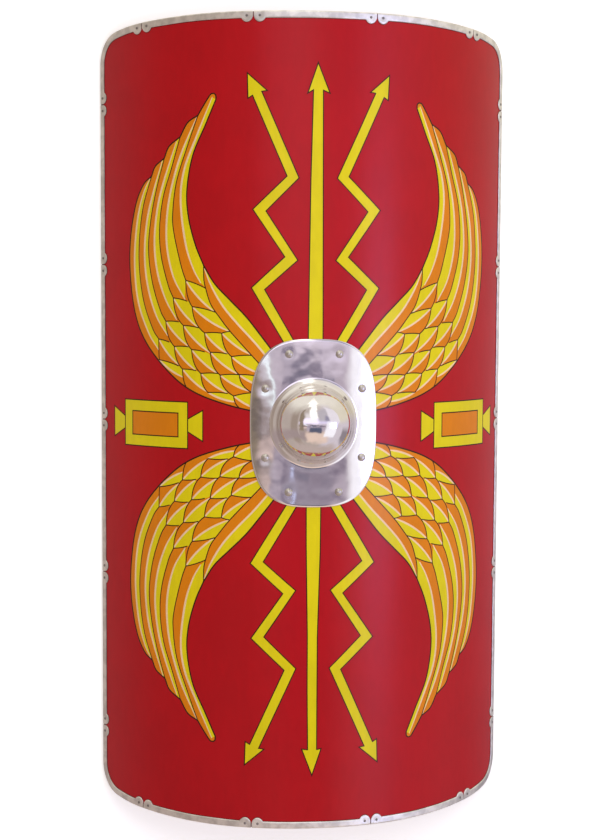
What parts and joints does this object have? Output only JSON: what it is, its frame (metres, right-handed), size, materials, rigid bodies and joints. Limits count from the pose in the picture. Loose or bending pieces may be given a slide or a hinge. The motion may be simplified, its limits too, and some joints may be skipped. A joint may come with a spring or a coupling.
{
  "type": "roman scutum shield",
  "caption": "Curved rectangular Roman shield: painted plywood board, sheet-metal edge binding, polished steel boss riveted over the hand hole and a wooden grip behind.",
  "frame": {"origin": "bottom centre of the bounding box, on the surface that the two long edges lie on", "axes": "+Y towards the shield's top edge, +Z out of the painted front at the middle line, +X across"},
  "size_m": [0.5492, 1.06, 0.1969],
  "materials": {
    "painted_board": "plywood board painted red in front with yellow and orange wings, bolts and tablets, plain wood behind",
    "boss_steel": "mirror-polished sheet steel",
    "rivet_steel": "worn bright steel",
    "binding_metal": "dull satin sheet metal, warm grey",
    "grip_wood": "oiled wood",
    "screw_steel": "plain steel"
  },
  "bodies": {
    "root": {"board": "painted_board", "boss": "boss_steel", "grip": "grip_wood", "boss_rivet_1": "rivet_steel", "boss_rivet_2": "rivet_steel", "boss_rivet_3": "rivet_steel", "boss_rivet_4": "rivet_steel", "boss_rivet_5": "rivet_steel", "boss_rivet_6": "rivet_steel", "boss_rivet_7": "rivet_steel", "boss_rivet_8": "rivet_steel", "grip_screw_1": "screw_steel", "grip_screw_2": "screw_steel", "grip_screw_3": "screw_steel", "grip_screw_4": "screw_steel", "binding_top_1": "binding_metal", "binding_top_2": "binding_metal", "binding_top_3": "binding_metal", "binding_bottom_1": "binding_metal", "binding_bottom_2": "binding_metal", "binding_bottom_3": "binding_metal", "binding_left_1": "binding_metal", "binding_left_2": "binding_metal", "binding_left_3": "binding_metal", "binding_left_4": "binding_metal", "binding_right_1": "binding_metal", "binding_right_2": "binding_metal", "binding_right_3": "binding_metal", "binding_right_4": "binding_metal", "binding_corner_top_left": "binding_metal", "binding_corner_top_right": "binding_metal", "binding_corner_bottom_left": "binding_metal", "binding_corner_bottom_right": "binding_metal"}
  },
  "joints": []
}
